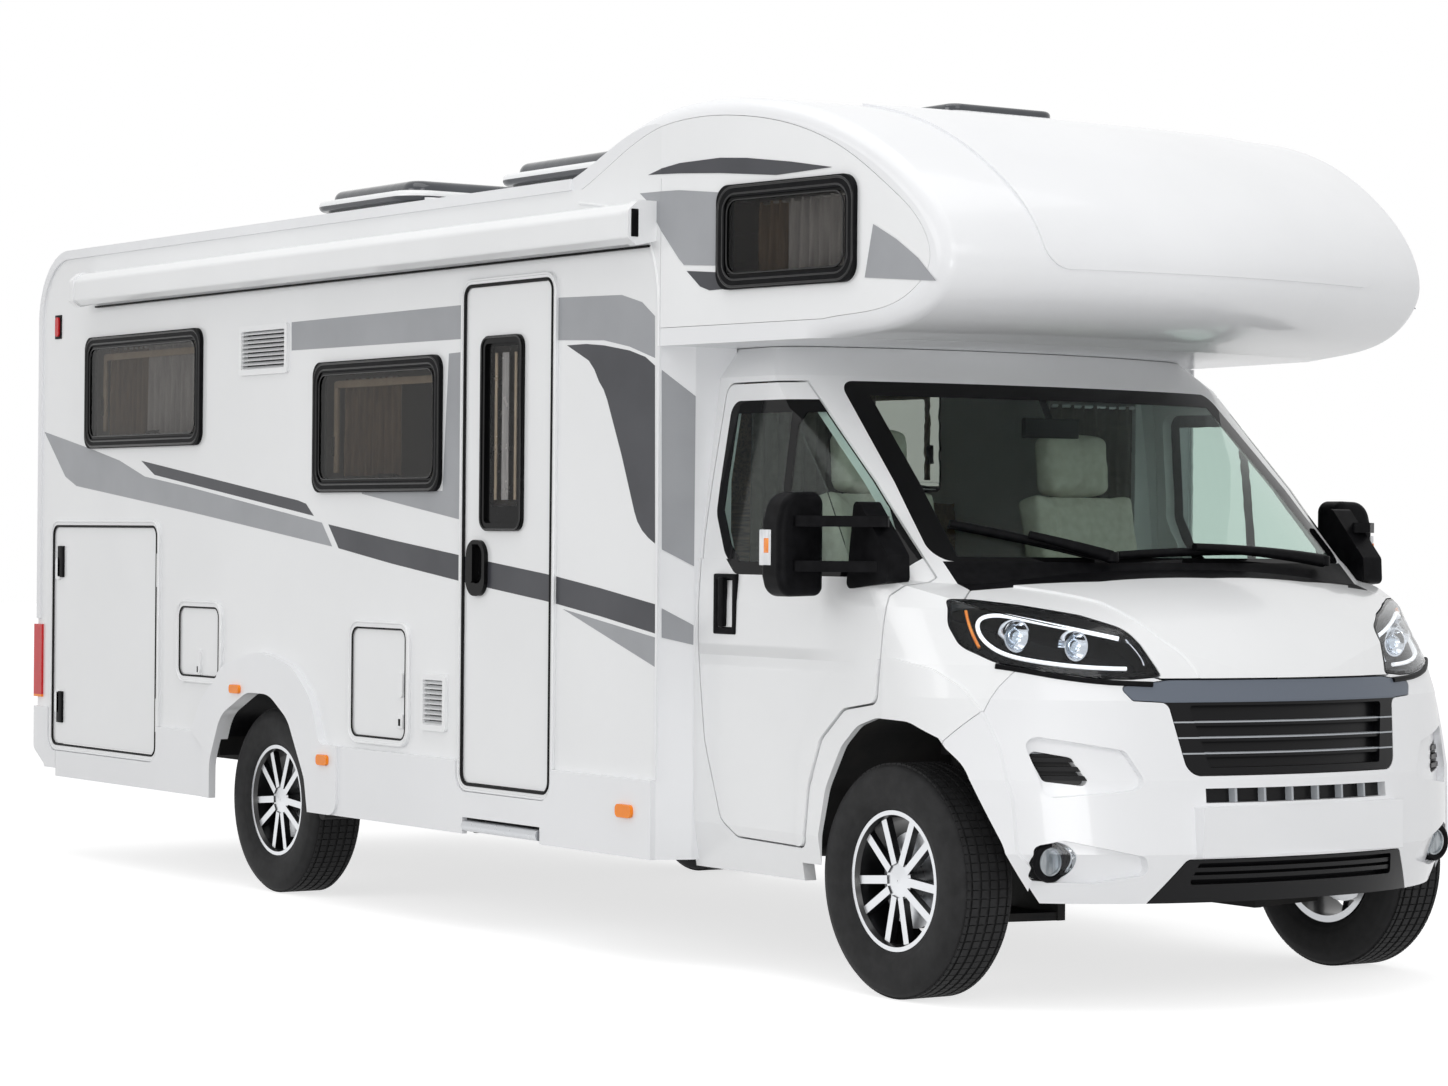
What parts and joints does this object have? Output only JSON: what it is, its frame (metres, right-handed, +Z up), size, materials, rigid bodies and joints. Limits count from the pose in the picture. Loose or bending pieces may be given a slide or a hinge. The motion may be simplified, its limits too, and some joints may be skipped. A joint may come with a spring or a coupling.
{
  "type": "alcove motorhome",
  "caption": "Coachbuilt motorhome with an alcove over a van cab, hollow panelled body, opening doors and hatches, steered front wheels and a sliding step.",
  "frame": {"origin": "on the ground under the middle of the whole vehicle's bounding box", "axes": "+X forwards, +Y to the vehicle's left, +Z up"},
  "size_m": [6.9577, 2.536, 2.8919],
  "materials": {
    "white_paint": "gloss",
    "white_grp": "gloss",
    "tyre_rubber": "matte",
    "black_alloy": "gloss",
    "chassis_black": "satin",
    "engine_iron": "rough",
    "clear_glass": "polished",
    "smoked_acrylic": "polished",
    "black_plastic": "matte",
    "grey_plastic": "matte",
    "lamp_lens": "polished",
    "headlamp_lens": "polished",
    "anodised": "satin",
    "cabinet_wood": "satin",
    "seat_fabric": "woven"
  },
  "bodies": {
    "body": {"alcove_nose": "white_grp", "alcove_sides": "white_paint", "awning_case": "white_paint", "body_lamps": "lamp_lens", "cab_floor": "chassis_black", "cab_junction": "white_grp", "cab_roof": "white_paint", "cab_seats": "seat_fabric", "cab_shell": "white_paint", "cab_wings": "white_paint", "chassis_frame": "chassis_black", "cowl_and_wipers": "black_plastic", "dashboard": "grey_plastic", "engine_block": "engine_iron", "front_bumper": "white_grp", "front_lamps": "headlamp_lens", "front_suspension": "chassis_black", "furniture": "cabinet_wood", "grilles": "black_plastic", "habitation_floor": "black_plastic", "lamp_housings": "black_plastic", "rear_axle": "chassis_black", "rear_bumper": "white_grp", "rear_wall": "white_grp", "roof_domes": "smoked_acrylic", "roof_lights": "white_grp", "roof_panel": "white_grp", "side_skirts": "white_grp", "side_wall_left": "white_paint", "side_wall_right": "white_paint", "tanks_and_exhaust": "black_plastic", "wall_frames": "white_paint", "window_frames": "black_plastic", "window_panes": "smoked_acrylic", "windscreen": "clear_glass"},
    "bonnet_lid": {"bonnet": "white_paint"},
    "driver_door": {"cab_door_left": "white_paint", "door_glass_left": "clear_glass", "mirror_left": "black_plastic"},
    "passenger_door": {"cab_door_right": "white_paint", "door_glass_right": "clear_glass", "mirror_right": "black_plastic"},
    "living_door": {"entry_door": "white_paint", "entry_door_fittings": "black_plastic"},
    "garage_lid_right": {"garage_door_right": "white_paint"},
    "garage_lid_left": {"garage_door_left": "white_paint"},
    "cassette_lid": {"cassette_hatch": "white_paint"},
    "gas_lid": {"gas_hatch": "white_paint"},
    "step_tread": {"entry_step": "anodised"},
    "driver_wheel": {"steering_wheel": "black_plastic"},
    "steer_right": {"knuckle_right": "chassis_black"},
    "steer_left": {"knuckle_left": "chassis_black"},
    "wheel_front_right": {"rim_front_right": "black_alloy", "tyre_front_right": "tyre_rubber"},
    "wheel_front_left": {"rim_front_left": "black_alloy", "tyre_front_left": "tyre_rubber"},
    "wheel_rear_right": {"rim_rear_right": "black_alloy", "tyre_rear_right": "tyre_rubber"},
    "wheel_rear_left": {"rim_rear_left": "black_alloy", "tyre_rear_left": "tyre_rubber"}
  },
  "joints": [
    {"name": "steer_right_turn", "type": "hinge", "parent": "body", "child": "steer_right", "pos_m": [2.695, -0.74, 0.365], "axis": [0, 0, 1], "range_deg": [-35, 35]},
    {"name": "steer_left_turn", "type": "hinge", "parent": "body", "child": "steer_left", "pos_m": [2.695, 0.74, 0.365], "axis": [0, 0, 1], "range_deg": [-35, 35]},
    {"name": "driver_wheel_turn", "type": "hinge", "parent": "body", "child": "driver_wheel", "pos_m": [2.33, 0.44, 1.19], "axis": [-0.8202, 0, 0.5721], "range_deg": [-510, 510]},
    {"name": "wheel_front_right_spin", "type": "hinge", "parent": "steer_right", "child": "wheel_front_right", "pos_m": [2.695, -0.905, 0.365], "axis": [0, 1, 0], "continuous": true},
    {"name": "wheel_front_left_spin", "type": "hinge", "parent": "steer_left", "child": "wheel_front_left", "pos_m": [2.695, 0.905, 0.365], "axis": [0, 1, 0], "continuous": true},
    {"name": "wheel_rear_right_spin", "type": "hinge", "parent": "body", "child": "wheel_rear_right", "pos_m": [-1.25, -0.995, 0.365], "axis": [0, 1, 0], "continuous": true},
    {"name": "wheel_rear_left_spin", "type": "hinge", "parent": "body", "child": "wheel_rear_left", "pos_m": [-1.25, 0.995, 0.365], "axis": [0, 1, 0], "continuous": true},
    {"name": "passenger_door_swing", "type": "hinge", "parent": "body", "child": "passenger_door", "pos_m": [2.765, -1.052, 1], "axis": [0, 0, 1], "range_deg": [0, 70]},
    {"name": "driver_door_swing", "type": "hinge", "parent": "body", "child": "driver_door", "pos_m": [2.765, 1.052, 1], "axis": [0, 0, -1], "range_deg": [0, 70]},
    {"name": "bonnet_lift", "type": "hinge", "parent": "body", "child": "bonnet_lid", "pos_m": [2.85, 0, 1.3], "axis": [0, -1, 0], "range_deg": [0, 50]},
    {"name": "living_door_swing", "type": "hinge", "parent": "body", "child": "living_door", "pos_m": [0.95, -1.176, 1.4], "axis": [0, 0, 1], "range_deg": [0, 100]},
    {"name": "garage_right_swing", "type": "hinge", "parent": "body", "child": "garage_lid_right", "pos_m": [-2.172, -1.176, 0.96], "axis": [0, 0, 1], "range_deg": [0, 100]},
    {"name": "garage_left_swing", "type": "hinge", "parent": "body", "child": "garage_lid_left", "pos_m": [-2.172, 1.176, 0.96], "axis": [0, 0, -1], "range_deg": [0, 100]},
    {"name": "cassette_lift", "type": "hinge", "parent": "body", "child": "cassette_lid", "pos_m": [-1.778, -1.176, 1.124], "axis": [-1, 0, 0], "range_deg": [0, 95]},
    {"name": "gas_swing", "type": "hinge", "parent": "body", "child": "gas_lid", "pos_m": [-0.485, -1.176, 0.866], "axis": [0, 0, -1], "range_deg": [0, 100]},
    {"name": "step_slide", "type": "slide", "parent": "body", "child": "step_tread", "axis": [0, -1, 0], "range_m": [0, 0.26]}
  ],
  "couplings": [
    {"joint": "steer_left_turn", "follows": "steer_right_turn", "ratio": 1},
    {"joint": "driver_wheel_turn", "follows": "steer_right_turn", "ratio": 14.5}
  ]
}
